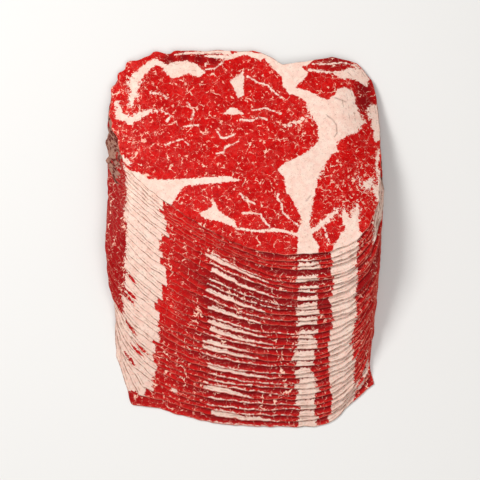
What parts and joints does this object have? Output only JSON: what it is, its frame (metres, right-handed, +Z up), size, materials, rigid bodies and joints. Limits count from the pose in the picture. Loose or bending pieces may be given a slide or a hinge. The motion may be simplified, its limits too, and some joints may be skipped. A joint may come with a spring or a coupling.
{
  "type": "sliced raw beef ribeye",
  "caption": "Fan of thin raw beef ribeye slices, overlapped front to back, with fat seams that line up from slice to slice.",
  "frame": {"origin": "on the surface that the meat lies on, under the middle of the fan", "axes": "+Z up, +Y from the lowest slice's front edge to the top slice's back edge, +X to the right"},
  "size_m": [0.2036, 0.2782, 0.0457],
  "materials": {
    "raw_beef": "moist raw meat with cream-coloured fat"
  },
  "bodies": {
    "root": {"slice_01": "raw_beef", "slice_02": "raw_beef", "slice_03": "raw_beef", "slice_04": "raw_beef", "slice_05": "raw_beef", "slice_06": "raw_beef", "slice_07": "raw_beef", "slice_08": "raw_beef", "slice_09": "raw_beef", "slice_10": "raw_beef", "slice_11": "raw_beef", "slice_12": "raw_beef", "slice_13": "raw_beef", "slice_14": "raw_beef", "slice_15": "raw_beef", "slice_16": "raw_beef", "slice_17": "raw_beef", "slice_18": "raw_beef", "slice_19": "raw_beef", "slice_20": "raw_beef", "slice_21": "raw_beef", "slice_22": "raw_beef", "slice_23": "raw_beef", "slice_24": "raw_beef", "slice_25": "raw_beef", "slice_26": "raw_beef", "slice_27": "raw_beef", "slice_28": "raw_beef", "slice_29": "raw_beef", "slice_30": "raw_beef", "slice_31": "raw_beef", "slice_32": "raw_beef"}
  },
  "joints": []
}
